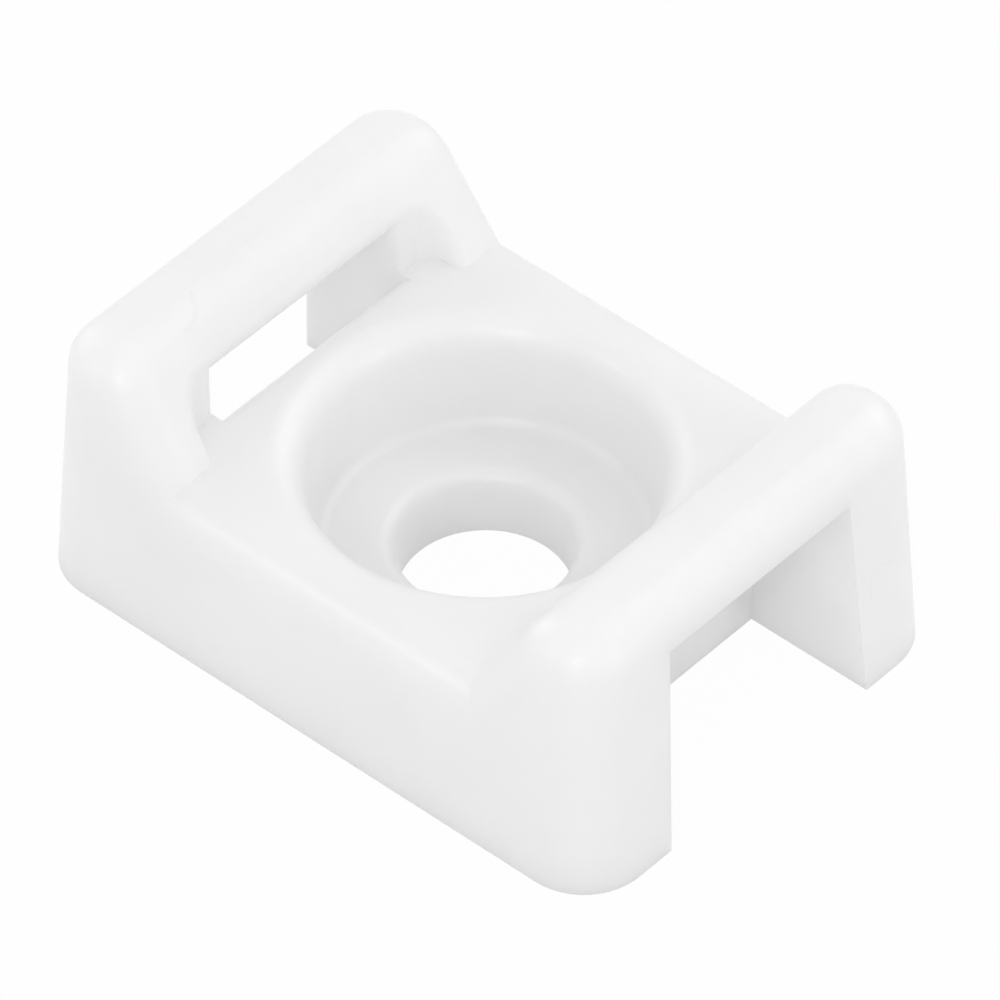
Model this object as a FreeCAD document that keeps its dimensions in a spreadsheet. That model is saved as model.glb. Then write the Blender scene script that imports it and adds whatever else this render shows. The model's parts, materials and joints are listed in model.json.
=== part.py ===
import FreeCAD, Part
import math
import os

import Sketcher

# A moulded saddle mount for cable ties, fixed with one screw. Lengths are in millimetres and angles in
# degrees. X runs along the tie, Y along the two bars and Z up. The origin is the middle of the underside, on
# the axis of the screw hole.

SIZES = [
    ("body_length", 22.4, "overall length, at the base"),
    ("body_width", 16.0, "overall width, at the base"),
    ("body_height", 9.23, "base to the top of the bars"),
    ("corner_radius", 2.15, "upright outer corners, at the base"),
    ("side_draft", 3.6, "lean of the faces that the upper mould half forms"),
    ("edge_radius", 1.25, "rounding of the whole upper outline"),
    ("floor_height", 5.78, "base to the saddle floor"),
    ("crest_inset", 3.2, "end of the base to the place where a slope would meet the top of its bar"),
    ("web_angle", 56.5, "rise of the webs from the floor"),
    ("web_edge_radius", 0.5, "inner edge of the webs and bars"),
    ("crest_radius", 1.6, "slope of the webs into the top of the bars"),
    ("bar_inset", 4.16, "end of the base to the inner face of its bar, at the floor"),
    ("web_inset", 2.62, "side of the base to the inner face of its webs, at the floor"),
    ("web_step", 1.28, "inner face of a web to the inner face of its leg, at the floor"),
    ("pocket_corner_radius", 0.65, "upright corners between a web and a bar"),
    ("mouth_side_radius", 0.35, "inner face of the bars into the inner faces of their legs"),
    ("bar_thickness", 1.62, "underside to top of the bars"),
    ("lip_gap", 0.05, "end of the floor to the inner face of its bar, seen from above"),
    ("core_draft", 3.0, "lean of the faces that the lower mould half forms"),
    ("lip_radius", 0.43, "saddle floor into the slots"),
    ("bar_lip_radius", 0.2, "inner face of the bars into their underside"),
    ("bore_diameter", 5.3, "screw hole"),
    ("bore_edge_radius", 0.55, "upper edge of the screw hole"),
    ("seat_height", 2.25, "base to the seat of the screw head"),
    ("recess_diameter", 11.1, "recess wall, where it would meet the floor"),
    ("recess_draft", 9.0, "lean of the recess wall"),
    ("seat_radius", 0.4, "seat of the screw head into the recess wall"),
    ("rim_radius", 1.05, "recess wall into the saddle floor"),
]

# Places that several features share, as expressions of the sizes. DRAFT, SLOPE and EASE are ratios: the lean
# of the side faces, the slope of the webs, and the part of a radius that rounding a slope into a bar takes up.
SLOT_TOP = "(sizes.body_height - sizes.bar_thickness)"
CREST = "(sizes.body_length / 2 - sizes.crest_inset)"
POCKET_END = "(sizes.body_length / 2 - sizes.bar_inset)"
POCKET_SIDE = "(sizes.body_width / 2 - sizes.web_inset)"
CORE_LEAN = "(sizes.floor_height * tan(sizes.core_draft * 1 deg))"
HUB_END = f"({POCKET_END} - sizes.lip_gap - {CORE_LEAN})"
SLOT_SIDE = f"({POCKET_SIDE} - sizes.web_step + {CORE_LEAN})"
MOUTH_FLAT = "(sizes.web_step - sizes.pocket_corner_radius)"
DRAFT = "tan(sizes.side_draft * 1 deg)"
SLOPE = "tan(sizes.web_angle * 1 deg)"
FACE_TOP = f"((sizes.body_height - ({CREST} - {POCKET_END} + sizes.floor_height * {DRAFT}) * {SLOPE})"
FACE_TOP += f" / (1 - {DRAFT} * {SLOPE}))"
BAR_FACE = f"({FACE_TOP} - {SLOT_TOP})"
EASE = "tan(45 deg - (sizes.web_angle + sizes.side_draft) * 0.5 deg)"
WEB_EDGE = f"min(sizes.web_edge_radius; 0.5 * {BAR_FACE} / {EASE})"
END_FLOOR = f"({POCKET_END} - sizes.lip_gap - sizes.recess_diameter / 2)"
TINY = 1e-4
UPRIGHT_LIMIT = 0.2
CLEAR = 1.02

doc = FreeCAD.newDocument("tie_mount")
sheet = doc.addObject("Spreadsheet::Sheet", "sizes")
for row, (alias, value, note) in enumerate(SIZES, 1):
    sheet.set(f"A{row}", alias)
    sheet.set(f"B{row}", str(value))
    sheet.setAlias(f"B{row}", alias)
    sheet.set(f"C{row}", note)
doc.recompute()

body = doc.addObject("PartDesign::Body", "tie_mount_body")
body.Label = "tie_mount_body"
origin_planes = {item.Role: item for item in body.Origin.OriginFeatures}


def add_sketch(name, plane, height=""):
    """Start a sketch on one of the body's own planes, lifted by the expression height."""
    sketch = body.newObject("Sketcher::SketchObject", name)
    sketch.AttachmentSupport = (origin_planes[plane], [""])
    sketch.MapMode = "FlatFace"
    if height:
        sketch.setExpression("AttachmentOffset.Base.z", height)
    return sketch


def hold_point(sketch, geometry, position, across, along):
    """Tie a point of a sketch to two expressions, measured from the sketch's origin."""
    for direction, text in (("DistanceX", across), ("DistanceY", along)):
        distance = float(sketch.evalExpression(text))
        number = sketch.addConstraint(Sketcher.Constraint(direction, -1, 1, geometry, position, distance))
        sketch.setExpression(f"Constraints[{number}]", text)


def round_corner(sketch, corner, line_in, line_out, radius):
    """Join two lines of a sketch with a tangent arc about the place where they would meet."""
    start = sketch.getPoint(line_in, 2)
    end = sketch.getPoint(line_out, 1)
    inward = ((start + end) / 2 - corner).normalize()
    distance = float(sketch.evalExpression(radius))
    centre = corner + inward * math.hypot(distance, (start - corner).Length)
    arc = sketch.addGeometry(Part.Arc(start, centre - inward * distance, end))
    forwards = sketch.getPoint(arc, 1).isEqual(start, TINY)
    first, last = (1, 2) if forwards else (2, 1)
    point = sketch.addGeometry(Part.Point(corner), True)
    sketch.addConstraint(Sketcher.Constraint("Tangent", line_in, 2, arc, first))
    sketch.addConstraint(Sketcher.Constraint("Tangent", arc, last, line_out, 1))
    sketch.addConstraint(Sketcher.Constraint("PointOnObject", point, 1, line_in))
    sketch.addConstraint(Sketcher.Constraint("PointOnObject", point, 1, line_out))
    number = sketch.addConstraint(Sketcher.Constraint("Radius", arc, distance))
    sketch.setExpression(f"Constraints[{number}]", radius)
    return point


def draw_outline(sketch, corners):
    """Draw a closed outline. A corner is two expressions for its place and, if round, one for its radius."""
    spots = []
    for across, along, *_ in corners:
        place = (float(sketch.evalExpression(across)), float(sketch.evalExpression(along)), 0)
        spots.append(FreeCAD.Vector(*place))
    starts = []
    ends = []
    for here, (_, _, *radius) in enumerate(corners):
        to_last = (spots[here - 1] - spots[here]).normalize()
        to_next = (spots[(here + 1) % len(spots)] - spots[here]).normalize()
        distance = float(sketch.evalExpression(radius[0])) if radius else 0
        reach = distance / math.tan(to_last.getAngle(to_next) / 2)
        ends.append(spots[here] + to_last * reach)
        starts.append(spots[here] + to_next * reach)
    lines = []
    for here in range(len(spots)):
        line = Part.LineSegment(starts[here], ends[(here + 1) % len(spots)])
        lines.append(sketch.addGeometry(line))
    for here, (across, along, *radius) in enumerate(corners):
        if radius:
            point = round_corner(sketch, spots[here], lines[here - 1], lines[here], radius[0])
            hold_point(sketch, point, 1, across, along)
        else:
            sketch.addConstraint(Sketcher.Constraint("Coincident", lines[here - 1], 2, lines[here], 1))
            hold_point(sketch, lines[here], 1, across, along)
    doc.recompute()


def rectangle(half_length, half_width, radius):
    """Corners of a rectangle about the origin, rounded alike."""
    signs = ((-1, -1), (1, -1), (1, 1), (-1, 1))
    return [(f"{x_sign} * {half_length}", f"{y_sign} * {half_width}", radius) for x_sign, y_sign in signs]


def middle_normal(face):
    """The outward normal in the middle of a face."""
    u_min, u_max, v_min, v_max = face.ParameterRange
    return face.normalAt((u_min + u_max) / 2, (v_min + v_max) / 2)


def is_outer_wall(face):
    """Whether a face is one of the block's own sides, which lean in from the base."""
    return 0 < middle_normal(face).z < UPRIGHT_LIMIT and face.BoundBox.ZMin < TINY


def is_pocket_wall(face):
    """Whether a face is an upright one that starts at the saddle floor."""
    return abs(middle_normal(face).z) < UPRIGHT_LIMIT and face.BoundBox.ZMin > TINY


def is_tread(face):
    """Whether a face looks up: the floor, a slope, a crest or a bar's top."""
    return middle_normal(face).z > UPRIGHT_LIMIT


def is_core_face(face):
    """Whether a face was formed from below: it looks down, or leans out from the base."""
    return middle_normal(face).z < -TINY


def joins(one, other, first_test, second_test):
    """Whether one of two faces passes the first test and the other one the second."""
    return (first_test(one) and second_test(other)) or (first_test(other) and second_test(one))


def level(text):
    """The value of an expression of heights."""
    return float(body.evalExpression(text))


def lies_at(edge, height):
    """Whether a whole edge lies at one height."""
    return abs(edge.BoundBox.ZMin - height) < TINY and abs(edge.BoundBox.ZMax - height) < TINY


def runs_across(edge):
    """Whether an edge runs along Y."""
    return edge.BoundBox.XLength < TINY


def pick_edges(feature, test):
    """The names of a feature's edges that pass a test, which is given the edge and its two faces."""
    shape = feature.Shape
    names = []
    for number, edge in enumerate(shape.Edges, 1):
        faces = shape.ancestorsOfType(edge, Part.Face)
        if len(faces) == 2 and test(edge, *faces):
            names.append(f"Edge{number}")
    return names


def add_fillet(name, base, radius, test):
    """Round every edge of the last feature that passes a test."""
    fillet = body.newObject("PartDesign::Fillet", name)
    fillet.Base = (base, pick_edges(base, test))
    fillet.setExpression("Radius", radius)
    doc.recompute()
    return fillet


def add_block():
    """The outer form: a rounded rectangle whose sides lean in."""
    sketch = add_sketch("block_outline", "XY_Plane")
    draw_outline(sketch, rectangle("sizes.body_length / 2", "sizes.body_width / 2", "sizes.corner_radius"))
    block = body.newObject("PartDesign::Pad", "block")
    block.Profile = sketch
    block.setExpression("Length", "sizes.body_height")
    block.setExpression("TaperAngle", "-sizes.side_draft")
    doc.recompute()
    return block


def cut_slots():
    """The two slots, open below and at the ends, that leave four legs and the block between them."""
    outer = "sizes.body_length"
    for name, sign in (("left_slot", "-"), ("right_slot", "")):
        sketch = add_sketch(f"{name}_outline", "XY_Plane")
        places = ((HUB_END, "-"), (outer, "-"), (outer, ""), (HUB_END, ""))
        draw_outline(sketch, [(f"{sign}{across}", f"{side}{SLOT_SIDE}") for across, side in places])
        slot = body.newObject("PartDesign::Pocket", name)
        slot.Profile = sketch
        slot.Reversed = True
        slot.setExpression("Length", SLOT_TOP)
        doc.recompute()
    return slot


def lean_slot_walls(slots):
    """Lean the upright walls of both slots so that they narrow upwards."""
    upright = []
    for number, face in enumerate(slots.Shape.Faces, 1):
        if abs(middle_normal(face).z) < TINY:
            upright.append(f"Face{number}")
    lean = body.newObject("PartDesign::Draft", "slot_draft")
    lean.Base = (slots, upright)
    lean.NeutralPlane = (origin_planes["XY_Plane"], [""])
    lean.Reversed = True
    lean.setExpression("Angle", "sizes.core_draft")
    doc.recompute()


def cut_saddle():
    """The saddle between the bars: a level floor and a slope up to each bar."""
    rise = "(sizes.body_height - sizes.floor_height)"
    foot = f"({CREST} - {rise} / tan(sizes.web_angle * 1 deg))"
    end = "sizes.body_length / 2"
    above = f"(sizes.body_height + {rise})"
    sketch = add_sketch("saddle_profile", "XZ_Plane")
    draw_outline(
        sketch,
        [
            (f"-{foot}", "sizes.floor_height"),
            (foot, "sizes.floor_height"),
            (CREST, "sizes.body_height", "sizes.crest_radius"),
            (end, "sizes.body_height"),
            (end, above),
            (f"-{end}", above),
            (f"-{end}", "sizes.body_height"),
            (f"-{CREST}", "sizes.body_height", "sizes.crest_radius"),
        ],
    )
    saddle = body.newObject("PartDesign::Pocket", "saddle")
    saddle.Profile = sketch
    saddle.Type = "ThroughAll"
    saddle.Midplane = True
    doc.recompute()
    return saddle


def cut_pocket():
    """The pocket that leaves a web at each corner and an upright inner face on each bar."""
    sketch = add_sketch("pocket_outline", "XY_Plane", "sizes.floor_height")
    draw_outline(sketch, rectangle(POCKET_END, POCKET_SIDE, "sizes.pocket_corner_radius"))
    pocket = body.newObject("PartDesign::Pocket", "pocket")
    pocket.Profile = sketch
    pocket.Reversed = True
    pocket.setExpression("Length", "sizes.body_height - sizes.floor_height")
    pocket.setExpression("TaperAngle", "sizes.side_draft")
    doc.recompute()
    return pocket


def round_upper_edges(pocket):
    """Round the inner edges of the webs and bars, then the whole upper outline."""

    def is_web_edge(edge, one, other):
        return joins(one, other, is_pocket_wall, is_tread) and edge.BoundBox.ZMax > floor_level + TINY

    def is_outline(edge, one, other):
        return joins(one, other, is_outer_wall, is_tread) and edge.BoundBox.ZMin > floor_level - TINY

    floor_level = level("sizes.floor_height")
    webs = add_fillet("web_edges", pocket, WEB_EDGE, is_web_edge)
    return add_fillet("outline_edges", webs, "sizes.edge_radius", is_outline)


def round_slot_mouths(rounded):
    """Soften the edges where the slots open into the saddle."""

    def is_mouth_side(edge, one, other):
        upright = edge.BoundBox.ZMin > floor_level - TINY and edge.BoundBox.YLength < edge.BoundBox.ZLength
        return joins(one, other, is_core_face, is_pocket_wall) and upright

    def is_lip(edge, one, other):
        return lies_at(edge, floor_level) and is_core_face(one) != is_core_face(other) and runs_across(edge)

    def is_bar_edge(edge, one, other):
        bar = joins(one, other, is_core_face, is_pocket_wall)
        return bar and lies_at(edge, slot_top) and runs_across(edge)

    floor_level = level("sizes.floor_height")
    slot_top = level(SLOT_TOP)
    side_radius = f"min(sizes.mouth_side_radius; 0.95 * {MOUTH_FLAT})"
    sides = add_fillet("mouth_sides", rounded, side_radius, is_mouth_side)
    lips = add_fillet("floor_lips", sides, f"min(sizes.lip_radius; 0.3 * {END_FLOOR})", is_lip)
    bar_radius = f"min(sizes.bar_lip_radius; 0.9 * ({BAR_FACE} - {WEB_EDGE} * {EASE}))"
    return add_fillet("bar_lips", lips, bar_radius, is_bar_edge)


def cut_screw_recess():
    """The screw hole, the seat for the head and the steep wall up to a rounded rim."""
    bore = "sizes.bore_diameter / 2"
    recess = "sizes.recess_diameter / 2"
    depth = "(sizes.floor_height - sizes.seat_height)"
    seat = f"({recess} - {depth} * tan(sizes.recess_draft * 1 deg))"
    reach = "tan(45 deg - sizes.recess_draft * 0.5 deg)"
    rim = f"min(sizes.rim_radius; 0.63 * {END_FLOOR} / {reach})"
    margin = f"{CLEAR} * {rim} * {reach}"
    sketch = add_sketch("recess_profile", "XZ_Plane")
    draw_outline(
        sketch,
        [
            ("0", "0"),
            (bore, "0"),
            (bore, "sizes.seat_height", "sizes.bore_edge_radius"),
            (seat, "sizes.seat_height", "sizes.seat_radius"),
            (recess, "sizes.floor_height", rim),
            (f"{recess} + {margin}", "sizes.floor_height"),
            (f"{recess} + {margin}", "sizes.body_height"),
            ("0", "sizes.body_height"),
        ],
    )
    groove = body.newObject("PartDesign::Groove", "screw_recess")
    groove.Profile = sketch
    groove.ReferenceAxis = (sketch, ["V_Axis"])
    groove.Angle = 360
    doc.recompute()
    return groove


def check_document():
    """Stop if any object failed or the finished body isn't one valid solid."""
    for item in doc.Objects:
        if "Invalid" in item.State or "Error" in item.State:
            raise RuntimeError(f"{item.Name} failed: {item.State}")
    shape = body.Shape
    if shape.isNull() or not shape.isValid() or len(shape.Solids) != 1:
        raise RuntimeError("the body isn't one valid solid")


add_block()
lean_slot_walls(cut_slots())
cut_saddle()
round_slot_mouths(round_upper_edges(cut_pocket()))
cut_screw_recess()
check_document()
os.makedirs("parts", exist_ok=True)
body.Shape.exportStep(f"parts/{body.Label}.step")
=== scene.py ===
"""A screw-fixed saddle mount for cable ties, moulded of natural nylon, on a plain white table."""

from __future__ import annotations

import json
import logging
import math
from dataclasses import dataclass, field
from enum import Enum
from typing import Any

import bmesh
import bpy
from mathutils import Matrix, Vector

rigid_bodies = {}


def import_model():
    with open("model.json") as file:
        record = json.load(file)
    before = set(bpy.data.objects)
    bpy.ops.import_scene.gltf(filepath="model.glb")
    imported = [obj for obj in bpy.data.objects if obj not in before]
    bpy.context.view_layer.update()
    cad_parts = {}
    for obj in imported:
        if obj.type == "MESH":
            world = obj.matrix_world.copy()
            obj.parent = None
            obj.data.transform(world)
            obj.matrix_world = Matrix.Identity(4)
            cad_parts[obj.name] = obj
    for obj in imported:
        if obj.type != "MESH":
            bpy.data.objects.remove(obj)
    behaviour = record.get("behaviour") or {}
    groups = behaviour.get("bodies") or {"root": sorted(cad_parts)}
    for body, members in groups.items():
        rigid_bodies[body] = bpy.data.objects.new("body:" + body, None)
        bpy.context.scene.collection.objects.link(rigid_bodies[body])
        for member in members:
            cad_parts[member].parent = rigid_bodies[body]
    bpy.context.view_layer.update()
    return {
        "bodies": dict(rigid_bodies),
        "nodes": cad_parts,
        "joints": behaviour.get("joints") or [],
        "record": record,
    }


MILLIMETRE = 0.001
WHITE = (1.0, 1.0, 1.0, 1.0)
NOISE_LOW = 0.3
NOISE_HIGH = 0.7

logger = logging.getLogger("tie_mount")


def linear(colour: str) -> tuple[float, float, float, float]:
    """Turn a colour into Blender's linear values.

    Args:
        colour: An sRGB colour as six hexadecimal digits after a hash.

    Returns:
        Red, green, blue and an alpha of 1.
    """
    parts = [int(colour[start : start + 2], 16) / 255 for start in (1, 3, 5)]
    turned = [part / 12.92 if part <= 0.04045 else ((part + 0.055) / 1.055) ** 2.4 for part in parts]
    return (turned[0], turned[1], turned[2], 1.0)


def add_node(
    tree: bpy.types.NodeTree,
    kind: str,
    inputs: dict[str | int, Any] | None = None,
    settings: dict[str, Any] | None = None,
) -> bpy.types.Node:
    """Add a node to a tree with its settings, values and links.

    Args:
        tree: The tree that takes the node.
        kind: The node's type name.
        inputs: A value or another node's output for each named input.
        settings: The node's own properties.

    Returns:
        The new node.
    """
    node = tree.nodes.new(kind)
    for name, value in (settings or {}).items():
        setattr(node, name, value)
    for name, value in (inputs or {}).items():
        if isinstance(value, bpy.types.NodeSocket):
            tree.links.new(value, node.inputs[name])
        else:
            node.inputs[name].default_value = value
    return node


def new_material(name: str) -> bpy.types.Material:
    """Make an empty node material.

    Args:
        name: The material's name.

    Returns:
        The material, with no nodes in it.
    """
    material = bpy.data.materials.new(name)
    material.use_nodes = True
    material.node_tree.nodes.clear()
    return material


class MarkKind(Enum):
    """A kind of faint mark on the moulding, or a spot of painted shadow, with its half width in
    millimetres.
    """

    RUB = 0.12
    SCRATCH = 0.06
    SPECK = 0.08
    # Painted shadow: a dark spot of shade at the near side's bottom edge, where it meets the table.
    SHADOW_SPOT = 0.20


@dataclass(frozen=True)
class Mark:
    """A small mark that runs along a few points of the surface, given in millimetres."""

    kind: MarkKind
    points: tuple[tuple[float, float, float], ...]

    def runs(self) -> list[tuple[Vector, Vector]]:
        """Split the mark into straight runs.

        Returns:
            The start and end of each run in metres. A mark of one point has one run of no length.
        """
        places = [Vector(point) * MILLIMETRE for point in self.points]
        return list(zip(places, places[1:])) or [(places[0], places[0])]


# Rubs, scratches and specks on the moulding, and one dark spot of painted shadow at the near side's bottom
# edge.
WEAR_AND_PAINTED_SHADOW = (
    Mark(
        MarkKind.RUB,
        ((-8.72, -3.27, 9.22), (-8.18, -3.61, 9.08), (-7.98, -3.97, 8.97), (-7.91, -4.41, 8.92)),
    ),
    Mark(MarkKind.SPECK, ((10.71, 3.96, 7.80),)),
    Mark(MarkKind.SCRATCH, ((10.93, 5.42, 4.31), (10.94, 5.82, 4.18))),
    Mark(
        MarkKind.SCRATCH,
        ((10.93, 5.02, 4.28), (10.94, 4.80, 4.18), (10.96, 4.74, 3.86), (10.98, 4.79, 3.47)),
    ),
    Mark(MarkKind.SCRATCH, ((10.90, 4.25, 2.85), (10.98, 4.27, 2.60))),
    Mark(MarkKind.SPECK, ((1.20, -7.87, 2.00),)),
    # Painted shadow: a dark spot at the near side's bottom edge.
    Mark(MarkKind.SHADOW_SPOT, ((-3.64, -8.00, 0.07),)),
)


@dataclass(frozen=True)
class NaturalNylon:
    """Uncoloured polyamide 6.6, injection moulded in a smooth mould."""

    # The resin is milky: light goes in and comes out a few millimetres on, which softens every shade.
    # The mould leaves a satin skin whose gloss is a little uneven, with slow hollows where it shrank.
    colour: str = "#f1f1f1"
    cloud_colour: str = "#eeeeee"
    # The marks' darker colour also paints the spot of shadow at the near side's bottom edge.
    mark_and_shadow_colour: str = "#ececec"
    ior: float = 1.53
    scatter_weight: float = 0.5
    scatter_depth: float = 3.0 * MILLIMETRE
    cloud_size: float = 4.0 * MILLIMETRE
    cloud_detail: float = 3.0
    gloss_patch: float = 0.8 * MILLIMETRE
    gloss_detail: float = 2.0
    roughness_low: float = 0.28
    roughness_high: float = 0.38
    hollow_size: float = 1.4 * MILLIMETRE
    hollow_depth: float = 0.012 * MILLIMETRE
    # The skin's real grain is about 0.02 mm and would not show, so it is drawn ten times as coarse.
    grain_size: float = 0.2 * MILLIMETRE
    grain_depth: float = 0.0006 * MILLIMETRE
    marks: tuple[Mark, ...] = WEAR_AND_PAINTED_SHADOW

    def material(self) -> bpy.types.Material:
        """Build the material.

        Returns:
            The nylon as a node material.
        """
        material = new_material("moulded_natural_nylon")
        tree = material.node_tree
        place = add_node(tree, "ShaderNodeTexCoord").outputs["Object"]
        shader = add_node(
            tree,
            "ShaderNodeBsdfPrincipled",
            {
                "Base Color": self.add_colour(tree, place, self.add_marks(tree, place)),
                "Roughness": self.add_roughness(tree, place),
                "Normal": self.add_relief(tree, place),
                "IOR": self.ior,
                "Subsurface Weight": self.scatter_weight,
                "Subsurface Radius": (1.0, 1.0, 1.0),
                "Subsurface Scale": self.scatter_depth,
            },
        )
        add_node(tree, "ShaderNodeOutputMaterial", {"Surface": shader.outputs["BSDF"]})
        return material

    def add_noise(
        self, tree: bpy.types.NodeTree, place: bpy.types.NodeSocket, size: float, detail: float
    ) -> bpy.types.NodeSocket:
        """Add a noise whose patches have a real size.

        Args:
            tree: The material's nodes.
            place: The point on the object.
            size: The width of a patch in metres.
            detail: How many finer layers the noise has.

        Returns:
            The noise, from 0 to 1.
        """
        noise = add_node(tree, "ShaderNodeTexNoise", {"Vector": place, "Scale": 1 / size, "Detail": detail})
        return noise.outputs[0]

    def add_colour(
        self, tree: bpy.types.NodeTree, place: bpy.types.NodeSocket, wear_and_shadow: float | bpy.types.NodeSocket
    ) -> bpy.types.NodeSocket:
        """Cloud the resin faintly and darken the marks, one of which is a spot of painted shadow.

        Args:
            tree: The material's nodes.
            place: The point on the object.
            wear_and_shadow: How much of a mark, or of the painted shadow spot, is at the point.

        Returns:
            The colour.
        """
        clouds = add_node(
            tree,
            "ShaderNodeMapRange",
            {
                "Value": self.add_noise(tree, place, self.cloud_size, self.cloud_detail),
                "From Min": NOISE_LOW,
                "From Max": NOISE_HIGH,
            },
        )
        colour = linear(self.colour)
        # The second mix darkens the marks and paints the spot of shadow.
        for factor, other in ((clouds.outputs["Result"], self.cloud_colour), (wear_and_shadow, self.mark_and_shadow_colour)):
            mix = add_node(
                tree, "ShaderNodeMix", {0: factor, 6: colour, 7: linear(other)}, {"data_type": "RGBA"}
            )
            colour = mix.outputs[2]
        return colour

    def add_roughness(self, tree: bpy.types.NodeTree, place: bpy.types.NodeSocket) -> bpy.types.NodeSocket:
        """Let the gloss change from patch to patch.

        Args:
            tree: The material's nodes.
            place: The point on the object.

        Returns:
            The roughness.
        """
        patches = add_node(
            tree,
            "ShaderNodeMapRange",
            {
                "Value": self.add_noise(tree, place, self.gloss_patch, self.gloss_detail),
                "From Min": NOISE_LOW,
                "From Max": NOISE_HIGH,
                "To Min": self.roughness_low,
                "To Max": self.roughness_high,
            },
        )
        return patches.outputs["Result"]

    def add_relief(self, tree: bpy.types.NodeTree, place: bpy.types.NodeSocket) -> bpy.types.NodeSocket:
        """Add the slow hollows and the fine grain as one height.

        Args:
            tree: The material's nodes.
            place: The point on the object.

        Returns:
            The bent normal.
        """
        height: float | bpy.types.NodeSocket = 0.0
        for size, depth in ((self.hollow_size, self.hollow_depth), (self.grain_size, self.grain_depth)):
            layer = add_node(
                tree,
                "ShaderNodeMath",
                {0: self.add_noise(tree, place, size, 0.0), 1: depth, 2: height},
                {"operation": "MULTIPLY_ADD"},
            )
            height = layer.outputs["Value"]
        bump = add_node(tree, "ShaderNodeBump", {"Height": height, "Distance": 1.0, "Strength": 1.0})
        return bump.outputs["Normal"]

    def add_marks(
        self, tree: bpy.types.NodeTree, place: bpy.types.NodeSocket
    ) -> float | bpy.types.NodeSocket:
        """Add every mark, and the spot of painted shadow, by its distance from the point on the surface.

        Args:
            tree: The material's nodes.
            place: The point on the object.

        Returns:
            How much of a mark or of the painted shadow is at the point, from 0 to 1.
        """
        wear_and_shadow: float | bpy.types.NodeSocket = 0.0
        for mark in self.marks:
            for start, end in mark.runs():
                inside = self.add_run(tree, place, start, end, mark.kind.value * MILLIMETRE)
                most = add_node(tree, "ShaderNodeMath", {0: wear_and_shadow, 1: inside}, {"operation": "MAXIMUM"})
                wear_and_shadow = most.outputs["Value"]
        return wear_and_shadow

    def add_run(
        self,
        tree: bpy.types.NodeTree,
        place: bpy.types.NodeSocket,
        start: Vector,
        end: Vector,
        half_width: float,
    ) -> bpy.types.NodeSocket:
        """Add one straight run of a mark, which fades out from its line.

        Args:
            tree: The material's nodes.
            place: The point on the object.
            start: The run's start.
            end: The run's end.
            half_width: How far from its line the run reaches.

        Returns:
            1 on the line and 0 past the half width.
        """
        length = (end - start).length
        way = (end - start).normalized()
        offset = add_node(
            tree, "ShaderNodeVectorMath", {0: place, 1: start}, {"operation": "SUBTRACT"}
        ).outputs["Vector"]
        along = add_node(
            tree, "ShaderNodeVectorMath", {0: offset, 1: way}, {"operation": "DOT_PRODUCT"}
        ).outputs["Value"]
        kept = add_node(tree, "ShaderNodeClamp", {"Value": along, "Min": 0.0, "Max": length})
        nearest = add_node(
            tree, "ShaderNodeVectorMath", {0: way, "Scale": kept.outputs["Result"]}, {"operation": "SCALE"}
        )
        gap = add_node(
            tree,
            "ShaderNodeVectorMath",
            {0: offset, 1: nearest.outputs["Vector"]},
            {"operation": "DISTANCE"},
        )
        fade = add_node(
            tree,
            "ShaderNodeMapRange",
            {"Value": gap.outputs["Value"], "From Max": half_width, "To Min": 1.0, "To Max": 0.0},
            {"interpolation_type": "SMOOTHSTEP"},
        )
        return fade.outputs["Result"]


@dataclass
class TieMount:
    """The mount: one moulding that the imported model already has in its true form."""

    node: str = "tie_mount_body"
    slot: str = "nylon"
    finish: NaturalNylon = field(default_factory=NaturalNylon)

    def dress(self, frame: dict[str, Any]) -> bpy.types.Object:
        """Give the moulding its finish.

        Args:
            frame: The loaded model.

        Returns:
            The dressed object.
        """
        moulding = frame["nodes"][self.node]
        moulding.data.materials.clear()
        moulding.data.materials.append(self.finish.material())
        return moulding


class SeenRay(Enum):
    """A kind of ray that shows the white background as it looks, and not as it lights."""

    CAMERA = "Is Camera Ray"
    GLOSSY = "Is Glossy Ray"
    TRANSMISSION = "Is Transmission Ray"


def add_seen(tree: bpy.types.NodeTree) -> bpy.types.NodeSocket:
    """Tell whether a ray looks at the background.

    Args:
        tree: The nodes of the background's material or world.

    Returns:
        1 for a camera, glossy or transmission ray and 0 for light on its way to the object.
    """
    paths = add_node(tree, "ShaderNodeLightPath")
    seen = paths.outputs[SeenRay.CAMERA.value]
    for kind in (SeenRay.GLOSSY, SeenRay.TRANSMISSION):
        other = paths.outputs[kind.value]
        either = add_node(tree, "ShaderNodeMath", {0: seen, 1: other}, {"operation": "MAXIMUM"})
        seen = either.outputs["Value"]
    return seen


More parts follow.
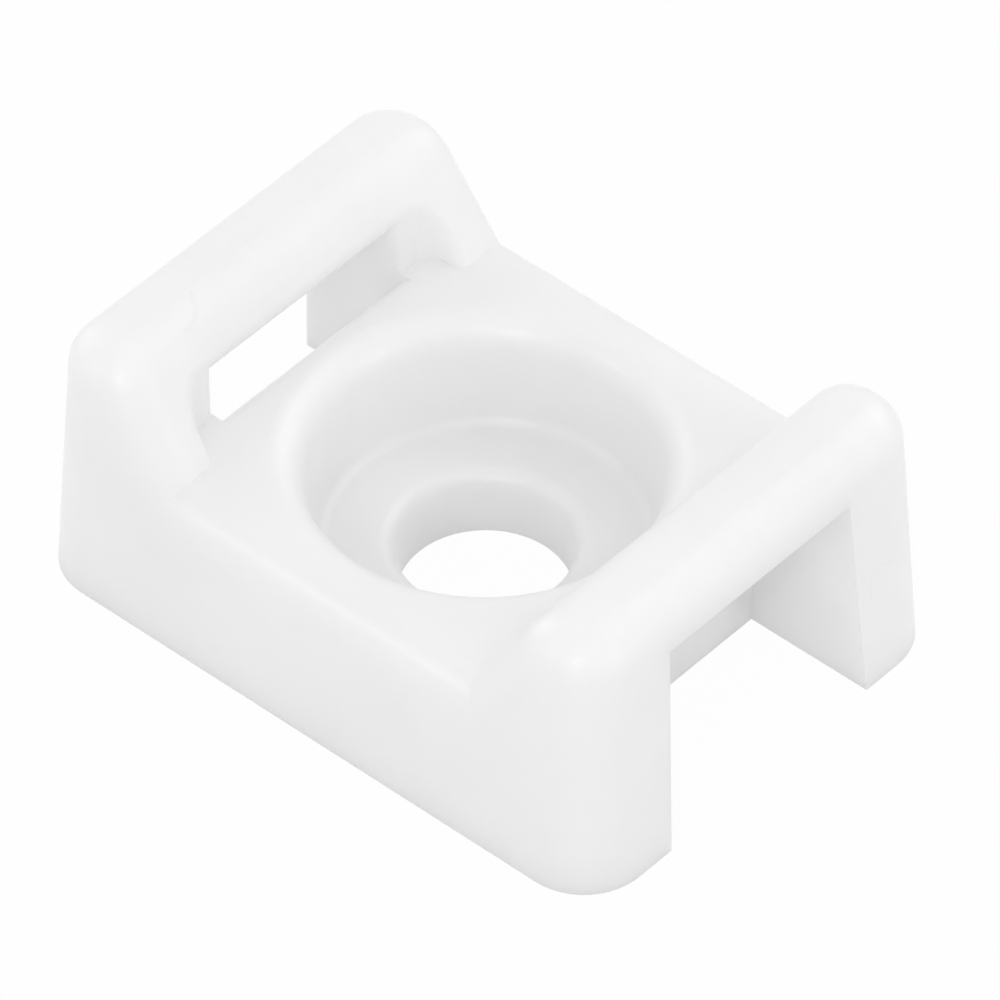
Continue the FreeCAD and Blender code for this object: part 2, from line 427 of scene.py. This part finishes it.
@dataclass(frozen=True)
class OpalAcrylic:
    """Cast opal acrylic sheet, lit softly from below."""

    # The sheet glows evenly, so the mount's lower sides stay bright and its shadow is faint. From below it
    # is clear, so that the mount's underside can be looked at.
    colour: str = "#bcbcbc"
    glow: float = 0.31
    seen_white: float = 0.96

    def material(self) -> bpy.types.Material:
        """Build the material.

        Returns:
            The acrylic as a node material.
        """
        material = new_material("cast_opal_acrylic")
        tree = material.node_tree
        sheet = add_node(tree, "ShaderNodeBsdfDiffuse", {"Color": linear(self.colour)})
        glow = add_node(tree, "ShaderNodeEmission", {"Strength": self.glow})
        lit = add_node(tree, "ShaderNodeAddShader", {0: sheet.outputs["BSDF"], 1: glow.outputs["Emission"]})
        white = add_node(tree, "ShaderNodeEmission", {"Strength": 1.0})
        shown = add_node(
            tree,
            "ShaderNodeMath",
            {0: add_seen(tree), 1: self.seen_white},
            {"operation": "MULTIPLY"},
        )
        mix = add_node(
            tree,
            "ShaderNodeMixShader",
            {0: shown.outputs["Value"], 1: lit.outputs["Shader"], 2: white.outputs["Emission"]},
        )
        below = add_node(tree, "ShaderNodeNewGeometry").outputs["Backfacing"]
        clear = add_node(tree, "ShaderNodeBsdfTransparent")
        sides = add_node(
            tree, "ShaderNodeMixShader", {0: below, 1: mix.outputs["Shader"], 2: clear.outputs["BSDF"]}
        )
        add_node(tree, "ShaderNodeOutputMaterial", {"Surface": sides.outputs["Shader"]})
        return material


@dataclass(frozen=True)
class Lamp:
    """A square lamp that points at the mount, with its width in metres and its power in watts."""

    name: str
    direction: tuple[float, float, float]
    size: float
    power: float

    def hang(self, distance: float) -> None:
        """Hang the lamp.

        Args:
            distance: How far from the mount it hangs.
        """
        data = bpy.data.lights.new(self.name, "AREA")
        data.size = self.size
        data.energy = self.power
        way = Vector(self.direction).normalized()
        holder = bpy.data.objects.new(self.name, data)
        holder.location = way * distance
        holder.rotation_mode = "QUATERNION"
        holder.rotation_quaternion = (-way).to_track_quat("-Z", "Y")
        bpy.context.scene.collection.objects.link(holder)


@dataclass
class Studio:
    """The white table, the soft lights and the camera."""

    table_size: float = 1.2
    table_gap: float = 0.02 * MILLIMETRE
    lamp_distance: float = 0.35
    horizon_strength: float = 0.76
    overhead_strength: float = 0.58
    overhead_height: float = 0.7
    sheet: OpalAcrylic = field(default_factory=OpalAcrylic)
    lamps: tuple[Lamp, ...] = (
        Lamp("top_lamp", (0.0, 0.0, 1.0), 0.3, 0.06),
        Lamp("upper_right_lamp", (0.5, -0.3, 0.82), 0.25, 0.105),
        Lamp("back_lamp", (0.1, 0.8, 0.6), 0.25, 0.24),
        Lamp("left_lamp", (-0.93, 0.0, 0.37), 0.25, 0.195),
        Lamp("front_right_lamp", (0.65, -0.65, 0.37), 0.25, 0.055),
        Lamp("front_spot", (0.32, -0.74, 0.61), 0.08, 0.14),
        Lamp("left_spot", (-0.475, -0.76, 0.444), 0.08, 0.06),
        Lamp("right_spot", (0.86, 0.24, 0.42), 0.08, 0.08),
    )

    def build(self) -> None:
        """Make the table, the lights and the camera."""
        self.add_table()
        self.add_sky()
        for lamp in self.lamps:
            lamp.hang(self.lamp_distance)
        self.add_camera()

    def add_table(self) -> bpy.types.Object:
        """Lay the table under the mount.

        Returns:
            The table.
        """
        shape = bmesh.new()
        bmesh.ops.create_grid(shape, x_segments=1, y_segments=1, size=self.table_size / 2)
        mesh = bpy.data.meshes.new("table")
        shape.to_mesh(mesh)
        shape.free()
        mesh.materials.append(self.sheet.material())
        table = bpy.data.objects.new("table", mesh)
        table.location.z = -self.table_gap
        bpy.context.scene.collection.objects.link(table)
        return table

    def add_sky(self) -> None:
        """Light the mount from all round, more from low down, and show white behind the table."""
        world = bpy.data.worlds.new("sky")
        bpy.context.scene.world = world
        world.use_nodes = True
        tree = world.node_tree
        tree.nodes.clear()
        way = add_node(tree, "ShaderNodeTexCoord").outputs["Generated"]
        height = add_node(tree, "ShaderNodeSeparateXYZ", {"Vector": way}).outputs["Z"]
        strength = add_node(
            tree,
            "ShaderNodeMapRange",
            {
                "Value": height,
                "From Max": self.overhead_height,
                "To Min": self.horizon_strength,
                "To Max": self.overhead_strength,
            },
        ).outputs["Result"]
        light = add_node(tree, "ShaderNodeBackground", {"Color": WHITE, "Strength": strength})
        white = add_node(tree, "ShaderNodeBackground", {"Color": WHITE, "Strength": 1.0})
        mix = add_node(
            tree,
            "ShaderNodeMixShader",
            {0: add_seen(tree), 1: light.outputs["Background"], 2: white.outputs["Background"]},
        )
        add_node(tree, "ShaderNodeOutputWorld", {"Surface": mix.outputs["Shader"]})

    def add_camera(self) -> bpy.types.Object:
        """Place the camera where the photograph was taken from.

        Returns:
            The camera.
        """
        view = PhotoView()
        data = bpy.data.cameras.new("camera")
        data.sensor_width = view.sensor
        data.lens = view.lens
        data.clip_start = view.nearest
        data.clip_end = view.farthest
        camera = bpy.data.objects.new("camera", data)
        camera.matrix_world = view.matrix()
        bpy.context.scene.collection.objects.link(camera)
        bpy.context.scene.camera = camera
        return camera


@dataclass(frozen=True)
class PhotoView:
    """The photograph's view of the mount: a long lens from the front right, a little under halfway up."""

    azimuth: float = math.radians(41.7114)
    elevation: float = math.radians(44.4366)
    roll: float = math.radians(-0.2008)
    distance: float = 384.26 * MILLIMETRE
    across: float = 0.4317 * MILLIMETRE
    upward: float = 2.760 * MILLIMETRE
    sensor: float = 36.0
    lens: float = 463.03
    nearest: float = 0.01
    farthest: float = 10.0

    def matrix(self) -> Matrix:
        """Work out the camera's place and turn.

        Returns:
            The camera's world matrix.
        """
        right = Vector((math.cos(self.azimuth), math.sin(self.azimuth), 0))
        level = math.cos(self.elevation)
        back = Vector(
            (math.sin(self.azimuth) * level, -math.cos(self.azimuth) * level, math.sin(self.elevation))
        )
        up = back.cross(right)
        turned_right = right * math.cos(self.roll) + up * math.sin(self.roll)
        turned_up = up * math.cos(self.roll) - right * math.sin(self.roll)
        place = back * self.distance + turned_right * self.across + turned_up * self.upward
        return Matrix.LocRotScale(place, Matrix((turned_right, turned_up, back)).transposed(), None)


def main() -> None:
    """Build the scene and report its pieces."""
    logging.basicConfig(level=logging.INFO, format="%(name)s: %(message)s")
    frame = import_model()
    moulding = TieMount().dress(frame)
    logger.info("%s: %d faces", moulding.name, len(moulding.data.polygons))
    Studio().build()
    bpy.context.scene.view_settings.view_transform = "Standard"


if __name__ == "__main__":
    main()
